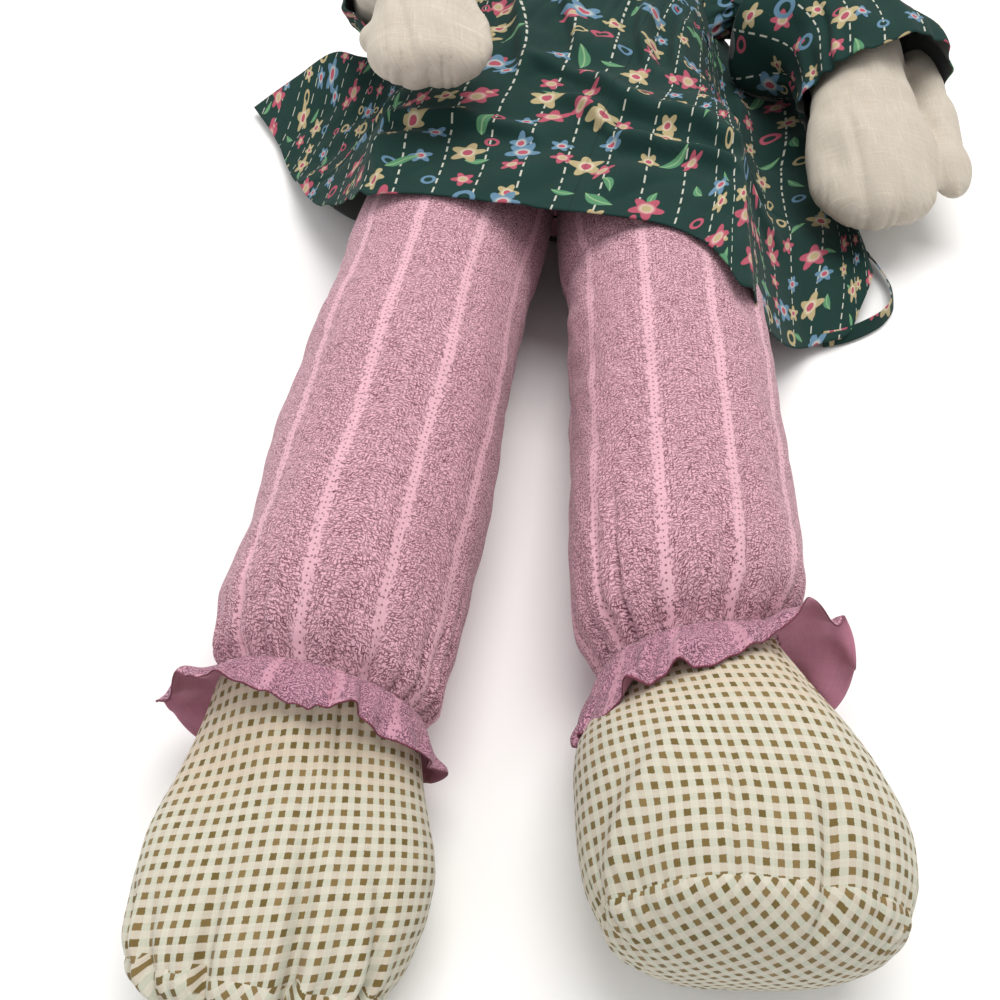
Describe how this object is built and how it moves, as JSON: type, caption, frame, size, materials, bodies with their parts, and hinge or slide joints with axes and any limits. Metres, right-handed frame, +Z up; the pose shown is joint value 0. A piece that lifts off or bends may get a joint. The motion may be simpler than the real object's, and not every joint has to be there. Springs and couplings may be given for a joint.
{
  "type": "rag doll",
  "caption": "Large stuffed cloth doll lying on its back: muslin body, printed cotton legs with ankle ruffles, checked round feet and a loose smock dress.",
  "frame": {"origin": "centre of the underside of the doll's box, on the surface that it lies on", "axes": "+Z up from the surface, +Y from the feet to the head, +X towards the doll's left"},
  "size_m": [0.5864, 1.1438, 0.2097],
  "materials": {
    "muslin": "unbleached plain weave",
    "stuffing": "loose polyester fibre",
    "yarn": "matt wool yarn",
    "green_print": "printed cotton",
    "pink_print": "printed cotton",
    "gingham": "woven check cotton"
  },
  "bodies": {
    "torso": {"torso_front_panel": "muslin", "torso_back_panel": "muslin", "torso_stuffing": "stuffing", "neck_tube": "muslin", "yoke_front": "green_print", "yoke_back": "green_print", "skirt": "green_print"},
    "head": {"head_front_panel": "muslin", "head_back_panel": "muslin", "head_stuffing": "stuffing", "hair": "yarn"},
    "left_shoulder": {"left_shoulder_tab": "muslin"},
    "left_arm": {"left_arm_casing": "muslin", "left_arm_stuffing": "stuffing", "left_sleeve": "green_print"},
    "left_leg": {"left_leg_casing": "pink_print", "left_leg_stuffing": "stuffing", "left_ankle_ruffle": "pink_print", "left_hip_tab": "pink_print"},
    "left_foot": {"left_foot_upper": "gingham", "left_foot_sole": "gingham", "left_foot_stuffing": "stuffing"},
    "right_shoulder": {"right_shoulder_tab": "muslin"},
    "right_arm": {"right_arm_casing": "muslin", "right_arm_stuffing": "stuffing", "right_sleeve": "green_print"},
    "right_leg": {"right_leg_casing": "pink_print", "right_leg_stuffing": "stuffing", "right_ankle_ruffle": "pink_print", "right_hip_tab": "pink_print"},
    "right_foot": {"right_foot_upper": "gingham", "right_foot_sole": "gingham", "right_foot_stuffing": "stuffing"}
  },
  "joints": [
    {"name": "neck_nod", "type": "hinge", "parent": "torso", "child": "head", "pos_m": [-0.01885, 0.34547, 0.05865], "axis": [1, 0, 0], "range_deg": [-20, 45], "deforming": ["neck_tube"]},
    {"name": "left_arm_spread", "type": "hinge", "parent": "torso", "child": "left_shoulder", "pos_m": [0.11243, 0.30547, 0.05865], "axis": [0, 0, 1], "range_deg": [0, 50]},
    {"name": "left_arm_raise", "type": "hinge", "parent": "left_shoulder", "child": "left_arm", "pos_m": [0.11243, 0.30547, 0.05865], "axis": [-0.9826, -0.1857, 0], "range_deg": [0, 75]},
    {"name": "left_hip_fold", "type": "hinge", "parent": "torso", "child": "left_leg", "pos_m": [0.05815, -0.01778, 0.05865], "axis": [-1, 0, 0], "range_deg": [-30, 90], "deforming": ["left_hip_tab", "skirt"]},
    {"name": "left_ankle_flop", "type": "hinge", "parent": "left_leg", "child": "left_foot", "pos_m": [0.07793, -0.38651, 0.04815], "axis": [0.9986, 0.0523, 0], "range_deg": [-12, 20], "deforming": ["left_ankle_ruffle"]},
    {"name": "right_arm_spread", "type": "hinge", "parent": "torso", "child": "right_shoulder", "pos_m": [-0.15013, 0.30547, 0.05865], "axis": [0, 0, -1], "range_deg": [0, 50], "deforming": ["skirt"]},
    {"name": "right_arm_raise", "type": "hinge", "parent": "right_shoulder", "child": "right_arm", "pos_m": [-0.15013, 0.30547, 0.05865], "axis": [-0.9455, -0.3256, 0], "range_deg": [0, 60]},
    {"name": "right_hip_fold", "type": "hinge", "parent": "torso", "child": "right_leg", "pos_m": [-0.09585, -0.03528, 0.05865], "axis": [-1, 0, 0], "range_deg": [-30, 50], "deforming": ["right_hip_tab", "skirt"]},
    {"name": "right_ankle_flop", "type": "hinge", "parent": "right_leg", "child": "right_foot", "pos_m": [-0.11563, -0.42151, 0.04815], "axis": [0.9986, -0.0523, 0], "range_deg": [-20, 12], "deforming": ["right_ankle_ruffle"]}
  ]
}
